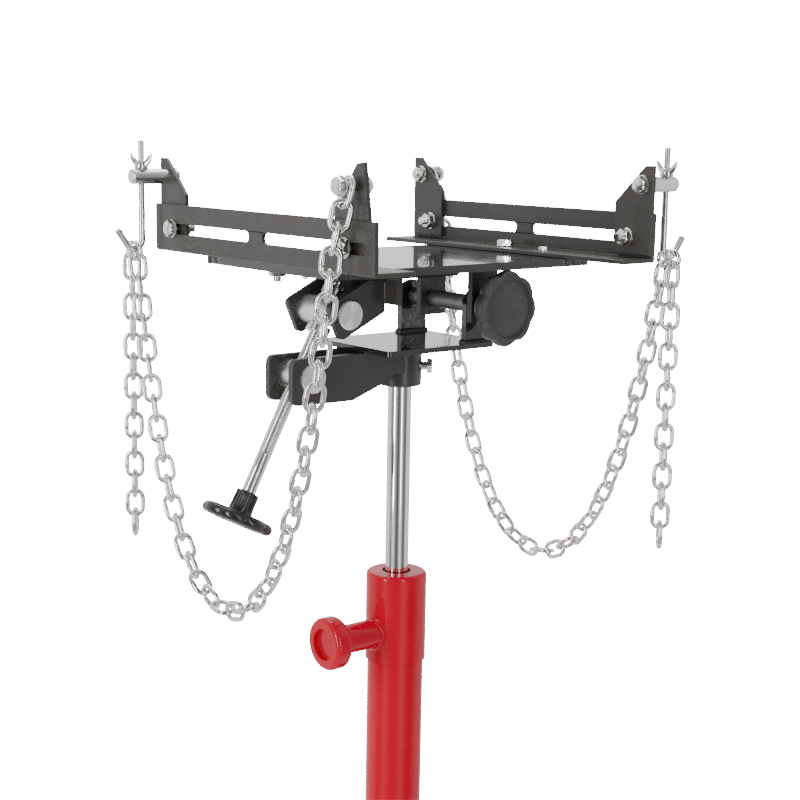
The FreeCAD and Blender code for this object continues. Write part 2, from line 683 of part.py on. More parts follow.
def make_lift():
    ram_low = v("cylinder_top - ram_sunk")
    top = v("deck_z + yoke_z - yoke_wall") - 0.5
    ram = rod("ram_dia", top - ram_low, (0, 0, ram_low))
    keep(ram, "ram")
    piston = rod("tube_bore - 0.1", 34, (0, 0, ram_low - 34))
    groove = cut(rod("tube_bore + 4", 8, (0, 0, ram_low - 22)),
                 rod("tube_bore - 10", 12, (0, 0, ram_low - 24)))
    keep(cut(piston, groove), "piston")
    seal = cut(rod("tube_bore - 0.04", 7.4, (0, 0, ram_low - 21.7)),
               rod("tube_bore - 9.8", 12, (0, 0, ram_low - 24)))
    keep(seal, "piston_seal")
    head_low = v("cylinder_top - head_height")
    tube = cut(rod("tube_dia", head_low - v("tube_floor"), (0, 0, "tube_floor")),
               rod("tube_bore", 900, (0, 0, v("tube_floor") + 12)))
    keep(tube, "cylinder_tube")
    boss_z = v("cylinder_top") - 72
    head = rod("head_dia", "head_height", (0, 0, head_low))
    head = soften(head, 5.0, lambda e: abs(e.CenterOfMass.z - v("cylinder_top")) < 0.1
                  and e.Curve.TypeId == "Part::GeomCircle")
    neck = rod(34, 72, (-20, 0, boss_z), (-1, 0, 0))
    disc = soften(rod(62, 22, (-86, 0, boss_z), (-1, 0, 0)), 6.0,
                  lambda e: e.Curve.TypeId == "Part::GeomCircle")
    body = soften(fuse(head, neck), 7.0, lambda e: -38 < e.CenterOfMass.x < -22
                  and abs(e.CenterOfMass.z - boss_z) < 1)
    socket = rod(37, 12, (-102, 0, boss_z), (-1, 0, 0))
    bore = rod("tube_bore", WIPER_TOP + 100, (0, 0, head_low - 100))
    mouth = rod(34, 60, (0, 0, head_low + 60))
    keep(cut(fuse(body, disc), socket, bore, mouth), "cylinder_head")
    bush = cut(rod("tube_bore - 0.02", 60, (0, 0, head_low + 30)),
               rod("ram_dia + 0.06", 90, (0, 0, head_low)))
    keep(bush, "guide_bush")
    wiper = cut(fuse(rod("tube_bore - 0.02", 7, (0, 0, head_low + WIPER_TOP - 7)),
                     cone(33, 31, 5, (0, 0, head_low + WIPER_TOP))),
                rod("ram_dia + 0.08", 60, (0, 0, head_low + 70)))
    keep(wiper, "wiper_seal")


# ---- Wheeled base and foot pump ----

def make_base_frame():
    """Hub with four square legs on the diagonals, each ending in a caster plate."""
    hub = rod(110, "leg_height", (0, 0, "leg_z"))
    collar = rod(86, 60, (0, 0, v("leg_z + leg_height")))
    pieces = [hub, collar]
    for n in range(4):
        angle = 45 + 90 * n
        turn = Rotation(Vector(0, 0, 1), angle)
        leg = box((v("caster_reach") + 26 - 36, "leg_width", "leg_height"), (0, 0, 0))
        inner = turn.multVec(Vector(36, -v("leg_width") / 2, 0))
        leg.Placement = Placement(inner + Vector(0, 0, v("leg_z")), turn)
        gusset = plate(f"gusset_{n}", "XZ_Plane", ((40, 0), (150, 0), (43, 55), (40, 55)), 8)
        gusset.Placement = Placement(Vector(0, 0, v("leg_z + leg_height")), turn)
        pad = box((76, 76, 6), (0, 0, 0))
        corner = turn.multVec(Vector(v("caster_reach") - 38, -38, 0))
        pad.Placement = Placement(corner + Vector(0, 0, v("leg_z") - 5.9), turn)
        pieces += [leg, gusset, pad]
    pieces.append(box((75, 70, 6), (50, -35, "leg_z + leg_height - 6")))
    hole = rod("tube_dia + 0.04", 200, (0, 0, 60))
    keep(cut(fuse(*pieces), hole), "base_frame")


CASTERS = (("front_right", -45), ("rear_right", 45), ("rear_left", 135), ("front_left", 225))


def make_caster(name, angle):
    """Swivel fork with a trailing wheel under the end of one leg."""
    turn = Rotation(Vector(0, 0, 1), angle)
    centre = turn.multVec(Vector(v("caster_reach"), 0, 0))
    along = turn.multVec(Vector(1, 0, 0))
    across = turn.multVec(Vector(0, 1, 0))
    top = v("leg_z") - 6.2
    race = rod(52, 9, (centre.x, centre.y, top - 9))
    crown = rod(48, 5, (centre.x, centre.y, top - 14))
    trail = v("caster_trail")
    axle = centre + along * trail + Vector(0, 0, v("axle_z"))
    cheeks = []
    for side in (-1, 1):
        offset = side * (v("tyre_width") / 2 + 4.5) - 1.5
        low = (trail + 9, v("axle_z") - 9)
        outline = ((trail - 9, low[1]), (trail + 9, low[1]), (trail + 11, v("axle_z") + 8),
                   (22, top - 9), (-22, top - 9))
        cheek = plate(f"{name}_cheek_{side + 1}", "XZ_Plane", outline, 3)
        cheek.Placement = Placement(centre + across * (offset + 1.5), turn)
        cheeks.append(cheek)
    bridge = box((44, v("tyre_width") + 12, 5), (0, 0, 0))
    corner = centre - along * 22 - across * (v("tyre_width") / 2 + 6)
    bridge.Placement = Placement(corner + Vector(0, 0, top - 14), turn)
    width = v("tyre_width") + 20
    pin = rod(8, width, tuple(axle - across * (width / 2)), tuple(across))
    nuts = [hexagon(13, 5, tuple(axle + across * (side * (v("tyre_width") / 2 + 8.5) - 2.5)), tuple(across))
            for side in (-1, 1)]
    keep(fuse(race, crown, bridge, *cheeks, pin, *nuts), f"{name}_caster_fork")
    half = v("tyre_width") / 2
    tyre = soften(rod("tyre_dia", "tyre_width", tuple(axle - across * half), tuple(across)), 6.0,
                  lambda e: e.Curve.TypeId == "Part::GeomCircle")
    dish = [cut(rod(52, 5, tuple(axle + across * (side * half - 2.5)), tuple(across)),
                rod(22, 9, tuple(axle + across * (side * half - 4.5)), tuple(across))) for side in (-1, 1)]
    bore = rod(8.2, 60, tuple(axle - across * 30), tuple(across))
    keep(cut(tyre, *dish, bore), f"{name}_caster_wheel")


PUMP_X = 92
PEDAL_PIVOT = (72, 250)
PLUNGER_X = 106


def make_pump():
    """Foot pump on the base hub: block, plunger, pedal on its pin, and release pedal."""
    floor = v("leg_z + leg_height") + 0.1
    block = soften(box((62, 60, 70), (PUMP_X - 34, -30, floor)), 4.0,
                   lambda e: abs(e.tangentAt(e.FirstParameter).z) > 0.9)
    turret = rod(26, 10, (PLUNGER_X, 0, floor + 70))
    ears = [fuse(box((26, 6, PEDAL_PIVOT[1] - floor - 60), (PEDAL_PIVOT[0] - 13, y, floor + 60)),
                 rod(26, 6, (PEDAL_PIVOT[0], y, PEDAL_PIVOT[1]), (0, 1, 0))) for y in (-27, 21)]
    well = rod(14.2, 80, (PLUNGER_X, 0, floor + 10))
    pivot = rod(10.2, 90, (PEDAL_PIVOT[0], -45, PEDAL_PIVOT[1]), (0, 1, 0))
    clear = rod("tube_dia + 0.6", 200, (0, 0, 120))
    release_hole = rod(12.2, 40, (PUMP_X + 2, -60, 175), (0, 1, 0))
    keep(cut(fuse(block, turret, *ears), well, pivot, clear, release_hole), "pump_block")
    keep(rod(14, 82, (PLUNGER_X, 0, PEDAL_PIVOT[1] - 13.5 - 82)), "pump_plunger")
    keep(rod(10, 66, (PEDAL_PIVOT[0], -33, PEDAL_PIVOT[1]), (0, 1, 0)), "pedal_pin")
    arm = box((176, 8, 26), (PEDAL_PIVOT[0] - 12, -4, PEDAL_PIVOT[1] - 13))
    tread = soften(box((80, 84, 8), (PEDAL_PIVOT[0] + 132, -42, PEDAL_PIVOT[1] + 13)), 10.0,
                   lambda e: abs(e.tangentAt(e.FirstParameter).z) > 0.9)
    boss = rod(22, 38, (PEDAL_PIVOT[0], -19, PEDAL_PIVOT[1]), (0, 1, 0))
    bore = rod(10.3, 60, (PEDAL_PIVOT[0], -30, PEDAL_PIVOT[1]), (0, 1, 0))
    keep(cut(fuse(arm, tread, boss), bore), "foot_pedal")
    stem = rod(12, 31, (PUMP_X + 2, -55, 175), (0, 1, 0))
    lever = box((96, 10, 14), (PUMP_X - 6, -65, 168))
    toe = soften(box((34, 46, 8), (PUMP_X + 76, -83, 174)), 8.0,
                 lambda e: abs(e.tangentAt(e.FirstParameter).z) > 0.9)
    keep(fuse(stem, lever, toe), "release_pedal")


def build():
    make_deck()
    make_rail("left_rail", -1, v("left_rail_shift"))
    make_rail("right_rail", 1, 0)
    make_rail_fasteners()
    make_deck_bracket()
    make_upper_clevis()
    for row in UPRIGHTS:
        make_upright(*row)
        make_upright_bolts(*row)
        if row[0] in ("left_far", "right_near"):
            make_tension_bar(*row[:4])
            make_chain_hook(*row[:4])
            make_wing_nut(*row[:4])
    for row in CHAINS:
        make_chain(*row)
    make_hinge()
    make_clamp_knob()
    make_trunnions()
    make_screw()
    make_yoke_plate()
    make_collar()
    make_set_bolt()
    make_lower_clevis()
    make_lift()
    make_base_frame()
    for name, angle in CASTERS:
        make_caster(name, angle)
    make_pump()


def check():
    doc.recompute()
    for obj in doc.Objects:
        if "Invalid" in obj.State or "Error" in obj.State:
            raise RuntimeError(f"{obj.Name} ({obj.Label}): {obj.State}")
    for obj in nodes:
        if obj.Shape.isNull() or not obj.Shape.isValid():
            raise RuntimeError(f"{obj.Label} has no valid shape")


build()
check()
os.makedirs("parts", exist_ok=True)
for obj in nodes:
    obj.Shape.exportStep(f"parts/{obj.Label}.step")
print(len(nodes), "nodes")
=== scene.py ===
import json
import math

import bmesh
import bpy
from mathutils import Matrix, Vector


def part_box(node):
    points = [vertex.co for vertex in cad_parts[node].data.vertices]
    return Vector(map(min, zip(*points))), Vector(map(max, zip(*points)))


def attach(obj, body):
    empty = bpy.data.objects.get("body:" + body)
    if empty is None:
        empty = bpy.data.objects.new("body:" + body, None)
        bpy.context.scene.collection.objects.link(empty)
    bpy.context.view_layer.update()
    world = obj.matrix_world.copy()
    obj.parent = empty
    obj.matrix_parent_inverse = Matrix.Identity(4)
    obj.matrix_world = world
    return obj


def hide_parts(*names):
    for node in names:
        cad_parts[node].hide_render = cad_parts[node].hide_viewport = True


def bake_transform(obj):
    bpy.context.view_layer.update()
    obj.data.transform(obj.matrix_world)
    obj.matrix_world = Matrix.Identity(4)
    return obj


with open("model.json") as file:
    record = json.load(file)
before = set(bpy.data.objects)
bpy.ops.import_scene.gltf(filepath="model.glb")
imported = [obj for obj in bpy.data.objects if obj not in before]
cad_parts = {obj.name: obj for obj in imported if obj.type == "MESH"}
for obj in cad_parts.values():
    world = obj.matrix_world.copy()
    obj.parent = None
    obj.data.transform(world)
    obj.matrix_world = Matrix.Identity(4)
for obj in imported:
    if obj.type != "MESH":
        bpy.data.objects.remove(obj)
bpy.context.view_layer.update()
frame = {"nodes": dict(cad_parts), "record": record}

# Transmission jack: the CAD nodes keep their shapes and get bevelled edges and procedural
# materials. Chains, threaded parts, fasteners and the two hand grips are rebuilt in detail, and
# weld beads are added. Metres, in the same frame as the CAD: floor at z = 0, ram axis at
# x = y = 0, rails along Y. Sizes in millimetres are turned into metres by MM.

TAU = 2 * math.pi
MM = 0.001

# Heights of the saddle group are counted from the top face of the deck, as in the CAD.
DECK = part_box("deck_plate")[1].z


def deck_point(x, y, z):
    """A point of the saddle group, given in millimetres from the deck's top face."""
    return Vector((x * MM, y * MM, DECK + z * MM))


# ---------------------------------------------------------------- node helpers for materials

class Shader:
    """A material's node tree with short calls for the nodes that every finish here uses."""

    def __init__(self, name):
        self.material = bpy.data.materials.new(name)
        self.material.use_nodes = True
        self.tree = self.material.node_tree
        self.bsdf = self.tree.nodes["Principled BSDF"]
        self.place = self.tree.nodes.new("ShaderNodeTexCoord").outputs["Object"]

    def set(self, **values):
        for name, value in values.items():
            self.bsdf.inputs[name.replace("_", " ")].default_value = value
        return self

    def link(self, source, target):
        self.tree.links.new(source, target)
        return source

    def stretch(self, scale):
        node = self.tree.nodes.new("ShaderNodeMapping")
        node.inputs["Scale"].default_value = scale
        self.link(self.place, node.inputs["Vector"])
        return node.outputs["Vector"]

    def noise(self, scale, detail=3.0, rough=0.55, vector=None):
        node = self.tree.nodes.new("ShaderNodeTexNoise")
        node.inputs["Scale"].default_value = scale
        node.inputs["Detail"].default_value = detail
        node.inputs["Roughness"].default_value = rough
        self.link(vector or self.place, node.inputs["Vector"])
        return node.outputs["Fac"]

    def ramp(self, fac, low, high, from_low=0.35, from_high=0.65):
        """Numbers or colours spread between two ends of a factor."""
        if isinstance(low, (int, float)):
            node = self.tree.nodes.new("ShaderNodeMapRange")
            node.inputs["From Min"].default_value = from_low
            node.inputs["From Max"].default_value = from_high
            node.inputs["To Min"].default_value = low
            node.inputs["To Max"].default_value = high
            self.link(fac, node.inputs["Value"])
            return node.outputs["Result"]
        node = self.tree.nodes.new("ShaderNodeValToRGB")
        node.color_ramp.elements[0].position = from_low
        node.color_ramp.elements[0].color = (*low, 1)
        node.color_ramp.elements[1].position = from_high
        node.color_ramp.elements[1].color = (*high, 1)
        self.link(fac, node.inputs["Fac"])
        return node.outputs["Color"]

    def mix(self, fac, first, second):
        node = self.tree.nodes.new("ShaderNodeMix")
        node.data_type = "RGBA"
        self.link(fac, node.inputs["Factor"])
        for socket, value in ((node.inputs["A"], first), (node.inputs["B"], second)):
            if isinstance(value, tuple):
                socket.default_value = (*value, 1)
            else:
                self.link(value, socket)
        return node.outputs["Result"]

    def bump(self, height, strength, distance):
        node = self.tree.nodes.new("ShaderNodeBump")
        node.inputs["Strength"].default_value = strength
        node.inputs["Distance"].default_value = distance
        self.link(height, node.inputs["Height"])
        self.link(node.outputs["Normal"], self.bsdf.inputs["Normal"])

    def colour(self, source):
        self.link(source, self.bsdf.inputs["Base Color"])

    def roughness(self, source):
        self.link(source, self.bsdf.inputs["Roughness"])


def powder_coat():
    """Satin black powder coat: fine orange peel, faint dusty patches."""
    s = Shader("black_powder_coat").set(Specular_IOR_Level=0.5)
    s.colour(s.ramp(s.noise(9, 5), (0.036, 0.033, 0.030), (0.050, 0.046, 0.042)))
    s.roughness(s.ramp(s.noise(60, 4), 0.30, 0.40))
    s.bump(s.noise(1500, 2), 0.18, 0.0002)
    return s.material


def gloss_black():
    """Deep gloss black paint on the deck and yoke plates."""
    s = Shader("black_gloss_paint").set(Coat_Weight=0.6, Coat_Roughness=0.03)
    s.colour(s.ramp(s.noise(14, 4), (0.010, 0.010, 0.011), (0.017, 0.017, 0.018)))
    s.roughness(s.ramp(s.noise(45, 5), 0.07, 0.15))
    s.bump(s.noise(420, 2), 0.10, 0.0002)
    return s.material


def red_enamel():
    """Glossy red enamel with a soft orange peel."""
    s = Shader("red_gloss_paint").set(Specular_IOR_Level=0.28)
    s.colour(s.ramp(s.noise(7, 4), (0.52, 0.0, 0.016), (0.58, 0.0, 0.022)))
    s.roughness(s.ramp(s.noise(40, 4), 0.05, 0.10))
    s.bump(s.noise(110, 2), 0.06, 0.0003)
    return s.material


def hard_chrome():
    """Ground and chromed ram: mirror bright, with faint rings from grinding."""
    s = Shader("hard_chrome").set(Metallic=1.0)
    s.colour(s.ramp(s.noise(6, 3), (0.74, 0.74, 0.76), (0.84, 0.84, 0.85)))
    rings = s.noise(1.0, 2, 0.5, s.stretch((2, 2, 1600)))
    s.roughness(s.ramp(rings, 0.05, 0.10))
    s.bump(rings, 0.04, 0.0001)
    return s.material


def bright_zinc():
    """Zinc plate on fasteners and chain: bright, slightly cloudy, a little blue and yellow."""
    s = Shader("bright_zinc").set(Metallic=1.0)
    cloud = s.noise(70, 4)
    s.colour(s.mix(s.noise(22, 3), s.ramp(cloud, (0.74, 0.75, 0.78), (0.88, 0.89, 0.90)),
                   (0.84, 0.82, 0.76)))
    s.roughness(s.ramp(s.noise(140, 4), 0.05, 0.13))
    s.bump(s.noise(400, 3), 0.07, 0.0002)
    return s.material


def turned_steel():
    """Lathe-turned steel bars with a fine even grain."""
    s = Shader("turned_steel").set(Metallic=1.0, Anisotropic=0.3)
    s.colour(s.ramp(s.noise(40, 4), (0.72, 0.72, 0.72), (0.84, 0.84, 0.83)))
    grain = s.noise(900, 2)
    s.roughness(s.ramp(grain, 0.15, 0.26))
    s.bump(grain, 0.08, 0.0001)
    return s.material


def turned_pin():
    """Steel pin across the jack, its end faces turned: the glint fans out from their centres."""
    s = Shader("turned_pin").set(Metallic=1.0, Anisotropic=0.75)
    around = s.tree.nodes.new("ShaderNodeTangent")
    around.direction_type = "RADIAL"
    around.axis = "Y"
    s.link(around.outputs["Tangent"], s.bsdf.inputs["Tangent"])
    s.colour(s.ramp(s.noise(30, 3), (0.88, 0.88, 0.87), (0.96, 0.96, 0.95)))
    s.roughness(s.ramp(s.noise(60, 3), 0.36, 0.44))
    return s.material


def dark_steel():
    """Oiled dark steel of the hinge rod and its sleeves."""
    s = Shader("dark_steel").set(Metallic=0.35, Specular_IOR_Level=0.6)
    s.colour(s.ramp(s.noise(35, 4), (0.22, 0.22, 0.215), (0.32, 0.32, 0.31)))
    s.roughness(s.ramp(s.noise(160, 3), 0.34, 0.46))
    s.bump(s.noise(800, 2), 0.1, 0.0001)
    return s.material


def moulded_plastic():
    """Matt black moulded plastic with a fine spark-eroded grain."""
    s = Shader("black_plastic").set(Specular_IOR_Level=0.45)
    s.colour(s.ramp(s.noise(30, 4), (0.045, 0.045, 0.046), (0.060, 0.060, 0.061)))
    s.roughness(s.ramp(s.noise(90, 3), 0.38, 0.50))
    s.bump(s.noise(2600, 2), 0.45, 0.0002)
    return s.material


def smooth_plastic():
    """Deep black plastic from a polished mould, as on the handwheel."""
    s = Shader("black_plastic_smooth").set(Specular_IOR_Level=0.45)
    s.colour(s.ramp(s.noise(30, 4), (0.014, 0.014, 0.014), (0.022, 0.022, 0.022)))
    s.roughness(s.ramp(s.noise(60, 3), 0.16, 0.28))
    s.bump(s.noise(240, 2), 0.06, 0.0002)
    return s.material


def hard_rubber():
    """Dull black rubber of the wheels and seals."""
    s = Shader("black_rubber").set(Specular_IOR_Level=0.35)
    s.colour(s.ramp(s.noise(18, 5), (0.020, 0.020, 0.020), (0.046, 0.044, 0.042)))
    s.roughness(s.ramp(s.noise(70, 4), 0.62, 0.82))
    s.bump(s.noise(900, 3), 0.4, 0.0002)
    return s.material


def bearing_bronze():
    """Machined bronze of the ram's guide bush."""
    s = Shader("bronze").set(Metallic=1.0)
    s.colour(s.ramp(s.noise(50, 4), (0.55, 0.37, 0.16), (0.68, 0.49, 0.25)))
    s.roughness(s.ramp(s.noise(200, 3), 0.26, 0.40))
    return s.material


FINISHES = {
    "black_powder_coat": powder_coat(),
    "black_gloss_paint": gloss_black(),
    "red_gloss_paint": red_enamel(),
    "hard_chrome": hard_chrome(),
    "bright_zinc": bright_zinc(),
    "turned_steel": turned_steel(),
    "black_plastic": moulded_plastic(),
    "black_rubber": hard_rubber(),
    "bronze": bearing_bronze(),
}
TURNED_PIN = turned_pin()
DARK_STEEL = dark_steel()
SMOOTH_PLASTIC = smooth_plastic()
# Nodes whose finish differs from the usual one of their slot.
OWN_FINISH = {"upper_trunnion": TURNED_PIN, "lower_trunnion": TURNED_PIN,
              "hinge_rod": DARK_STEEL, "hinge_sleeves": DARK_STEEL}
SLOT_OF = {row["node"]: row["material_slot"] for row in frame["record"]["subparts"]}
EDGE_WIDTH = 0.0005
WIDER_EDGES = {"left_rail": 0.0008, "right_rail": 0.0008,
               "base_frame": 0.0015, "pump_block": 0.0015}
SAME_POINT = 0.000004
SHARP_ANGLE = 32


def finish_node(name, obj):
    """Give a CAD node its finish and softened edges."""
    obj.data.materials.clear()
    obj.data.materials.append(OWN_FINISH.get(name) or FINISHES[SLOT_OF[name]])
    for face in obj.data.polygons:
        face.use_smooth = True
    weld = obj.modifiers.new("Weld", "WELD")
    weld.merge_threshold = SAME_POINT
    bevel = obj.modifiers.new("Bevel", "BEVEL")
    bevel.width = WIDER_EDGES.get(name, EDGE_WIDTH)
    bevel.segments = 2
    bevel.limit_method = "ANGLE"
    bevel.angle_limit = math.radians(SHARP_ANGLE)
    bevel.harden_normals = False
    normals = obj.modifiers.new("Normals", "WEIGHTED_NORMAL")
    normals.keep_sharp = False
    normals.weight = 90


# ---------------------------------------------------------------- mesh pieces built one by one

def deck_frame(at, way, roll=0.0):
    """Frame for a piece drawn in millimetres: its origin at a point counted from the deck's top
    face, its Z axis along a direction, turned about that axis by an angle in degrees."""
    turn = Vector((0, 0, 1)).rotation_difference(Vector(way)).to_matrix().to_4x4()
    spin = Matrix.Rotation(math.radians(roll), 4, "Z")
    return Matrix.Translation(deck_point(*at)) @ turn @ spin @ Matrix.Scale(MM, 4)


class Piece:
    """Collects surfaces into one mesh object."""

    def __init__(self):
        self.mesh = bmesh.new()

    def rings(self, rings, place=Matrix.Identity(4), closed=False):
        """Skin a row of rings of equal point counts, with capped or joined ends."""
        rows = [[self.mesh.verts.new(place @ Vector(p)) for p in ring] for ring in rings]
        count = len(rows[0])
        pairs = list(zip(rows, rows[1:]))
        if closed:
            pairs.append((rows[-1], rows[0]))
        for low, high in pairs:
            for n in range(count):
                m = (n + 1) % count
                self.mesh.faces.new((low[n], low[m], high[m], high[n]))
        if not closed:
            self.mesh.faces.new(list(reversed(rows[0])))
            self.mesh.faces.new(rows[-1])
        return self

    def polar(self, levels, place, count=48, shape=None):
        """Solid skinned from levels (height, radius), with the radius shaped around the axis."""
        rings = []
        for height, radius in levels:
            ring = []
            for n in range(count):
                angle = TAU * n / count
                reach = shape(angle, radius, height) if shape else radius
                ring.append((reach * math.cos(angle), reach * math.sin(angle), height))
            rings.append(ring)
        return self.rings(rings, place)

    def washer(self, outer, inner, low, high, place, count=48):
        """Flat ring between two heights, with its outer corners taken off."""
        edge = 0.12 * (high - low)
        profile = ((inner, low), (outer - edge, low), (outer, low + edge), (outer, high - edge),
                   (outer - edge, high), (inner, high))
        rings = [[(r * math.cos(TAU * n / count), r * math.sin(TAU * n / count), z)
                  for n in range(count)] for r, z in profile]
        return self.rings(rings, place, closed=True)

    def thread(self, radius, low, high, pitch, depth, place, count=24, steps=8):
        """Screw thread from low to high, with a short chamfer at the far end."""
        rows = max(2, round((high - low) / pitch * steps))
        rings = []
        for k in range(rows + 1):
            height = low + (high - low) * k / rows
            taper = min(1.0, (high - height) / (1.5 * depth) + 0.35)
            ring = []
            for n in range(count):
                phase = (height / pitch - n / count) % 1.0
                groove = depth * min(1.0, max(0.0, 1.6 * (1 - abs(2 * phase - 1)) - 0.3))
                reach = min(radius - groove, radius - depth * (1 - taper) * 1.2)
                angle = TAU * n / count
                ring.append((reach * math.cos(angle), reach * math.sin(angle), height))
            rings.append(ring)
        return self.rings(rings, place)

    def done(self, name, slot_name, body, replaced=(), sharp=34):
        """Turn the surfaces into an object that rides on a body and replaces CAD nodes."""
        bmesh.ops.recalc_face_normals(self.mesh, faces=self.mesh.faces)
        data = bpy.data.meshes.new(name)
        self.mesh.to_mesh(data)
        self.mesh.free()
        obj = bpy.data.objects.new(name, data)
        bpy.context.scene.collection.objects.link(obj)
        data.materials.append(FINISHES[slot_name])
        data.shade_smooth()
        data.set_sharp_from_angle(angle=math.radians(sharp))
        if body:
            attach(obj, body)
        if replaced:
            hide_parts(*replaced)
        return obj


# ---------------------------------------------------------------- fasteners

THREAD_PITCH = {10: 1.5, 8: 1.25, 6: 1.0}
# Times the bolt's diameter.
HEAD_HEIGHT, NUT_HEIGHT, WASHER_RADIUS = 0.62, 0.8, 1.05
WASHER_ROOM = 0.2
NUT_TURN = 13


def hex_solid(piece, flats, low, high, place, both=False):
    """Hex head or nut with its corners chamfered at the outer end, or at both ends."""
    corner = flats / math.sqrt(3)
    drop = 0.16 * flats / 2
    end = 0.93 * flats / 2
    shoulder = 0.5 * flats + 0.3 * (corner - flats / 2)
    bottom = [(low, end), (low + 0.35 * drop, shoulder), (low + drop, corner)]
    top = [(high - drop, corner), (high - 0.35 * drop, shoulder), (high, end)]

    def hexagon(angle, limit, height):
        return min(flats / 2 / math.cos((angle % (TAU / 6)) - TAU / 12), limit)

    piece.polar((bottom if both else [(low, corner)]) + top, place, 72, hexagon)


def bolt(piece, dia, flats, grip, at, way, washer=0.0, nut=True, spare=6.0):
    """Hex bolt, washers and nut of the same sizes as the CAD ones. Millimetres from the deck."""
    place = deck_frame(at, way)
    flip = Matrix.Translation((0, 0, -washer)) @ Matrix.Rotation(math.pi, 4, "X")
    hex_solid(piece, flats, 0, HEAD_HEIGHT * dia, place @ flip)
    end = grip + washer + (NUT_HEIGHT * dia + spare if nut else spare)
    pitch = THREAD_PITCH[dia]
    smooth_end = grip + washer * 0.5
    piece.polar([(-washer, dia / 2), (smooth_end, dia / 2)], place, 24)
    piece.thread(dia / 2, smooth_end, end, pitch, 0.55 * pitch, place)
    outer, inner = WASHER_RADIUS * dia, dia / 2 + WASHER_ROOM
    if washer:
        piece.washer(outer, inner, -washer, 0, place)
    if nut:
        if washer:
            piece.washer(outer, inner, grip, grip + washer, place)
        turned = place @ Matrix.Rotation(math.radians(NUT_TURN), 4, "Z")
        top = grip + washer + NUT_HEIGHT * dia
        hex_solid(piece, flats, grip + washer, top, turned, both=True)


# The saddle's fastener places, in millimetres, as in the CAD.
RAIL_OUT = 195.0
RAIL_WALL = 5.0
PLATE_WALL = 5.0
SLOT_Z = 27.0
CHAIN_ROOM = 18.0
RAIL_BOLT = (168, 8)
RAIL_PIN = (174, -52)
RAIL_GRIP = 10.0
WASHER = 2.0
SET_BOLT_WAY = Vector((0.78, -0.62, 0)).normalized()
SET_BOLT_RADIUS = 31
SET_BOLT_Z = -126
# Side along X, end along Y, distance of the clamp bolt along the rail, lean in degrees.
UPRIGHTS = {
    "left_far": (-1, 1, 180, 0.0),
    "left_near": (-1, -1, 148, 9.0),
    "right_far": (1, 1, 167, 0.0),
    "right_near": (1, -1, 173, 0.0),
}
# Distances of the upper hole from the clamp bolt's hole: outward and up.
CHAIN_HOLE = (20, 59)
WITH_BAR = ("left_far", "right_near")


def upright_hole(name, across, up):
    """A point of an upright's plate, in millimetres from the deck."""
    side, end, reach, lean = UPRIGHTS[name]
    turn = Matrix.Rotation(math.radians(end * lean), 3, "X")
    x = side * (RAIL_OUT - RAIL_WALL - PLATE_WALL / 2)
    return Vector((x, end * reach, SLOT_Z)) + turn @ Vector((0, end * across, up))


def make_fasteners():
    """Rail bolts and pins, the collar's set bolt, and the two bolts of each upright."""
    rail = Piece()
    down = (0, 0, -1)
    for side in (-1, 1):
        bolt(rail, 10, 17, RAIL_GRIP, (side * RAIL_BOLT[0], RAIL_BOLT[1], RAIL_WALL), down, WASHER)
        bolt(rail, 6, 10, RAIL_GRIP, (side * RAIL_PIN[0], RAIL_PIN[1], RAIL_WALL), down, spare=3.0)
    rail.done("rail_fasteners", "bright_zinc", "saddle", ["rail_bolts"])
    set_bolt = Piece()
    seat = SET_BOLT_WAY * SET_BOLT_RADIUS + Vector((0, 0, SET_BOLT_Z))
    bolt(set_bolt, 10, 17, 10, seat, -SET_BOLT_WAY, nut=False, spare=6.6)
    set_bolt.done("collar_bolt", "bright_zinc", "yoke", ["collar_set_bolt"])
    for name, (side, *_) in UPRIGHTS.items():
        piece = Piece()
        low = upright_hole(name, 0, 0) + Vector((side * (PLATE_WALL / 2 + RAIL_WALL), 0, 0))
        bolt(piece, 10, 17, PLATE_WALL + RAIL_WALL, low, (-side, 0, 0), WASHER, spare=8.0)
        high = upright_hole(name, *CHAIN_HOLE)
        if name in WITH_BAR:
            inner = high - Vector((side * PLATE_WALL / 2, 0, 0))
            bolt(piece, 10, 17, PLATE_WALL, inner, (side, 0, 0), WASHER, nut=False, spare=16.0)
        else:
            outer = high + Vector((side * (PLATE_WALL / 2 + CHAIN_ROOM), 0, 0))
            bolt(piece, 10, 17, PLATE_WALL + CHAIN_ROOM, outer, (-side, 0, 0), WASHER, spare=4.0)
        piece.done(f"{name}_fasteners", "bright_zinc", f"{name}_upright", [f"{name}_bolts"])


# ---------------------------------------------------------------- weld beads

LUG_X = (38, 76)
LUG_WALL = 8
YOKE_LUGS_Y = (-70, 45)
YOKE_TOP = -95
YOKE_UNDER = -101.5
DECK_EARS_Y = (-79, 10)
DECK_UNDER = -5.4
BRACKET_X = -58.3
BEAD_RIPPLE = 3.2
BEAD_STEP = 0.8


def bead(piece, corners, radius):
    """Rippled weld bead along straight runs between corners, in millimetres from the deck."""
    for start, end in zip(corners, corners[1:]):
        start, end = Vector(start), Vector(end)
        run = (end - start).length
        steps = max(4, round(run / BEAD_STEP))
        place = deck_frame(start, end - start)
        levels = [(-0.5 * radius, 0.1 * radius)]
        for n in range(steps + 1):
            along = run * n / steps
            wave = 0.5 + 0.5 * math.cos(TAU * along / BEAD_RIPPLE)
            levels.append((along, radius * (1 - 0.16 * wave)))
        levels.append((run + 0.5 * radius, 0.1 * radius))
        piece.polar(levels, place, 12)


def foot_bead(piece, y, z, radius):
    """Bead round the foot of a hinge lug."""
    (x0, x1), y1 = LUG_X, y + LUG_WALL
    bead(piece, [(x0, y, z), (x1, y, z), (x1, y1, z), (x0, y1, z), (x0, y, z)], radius)


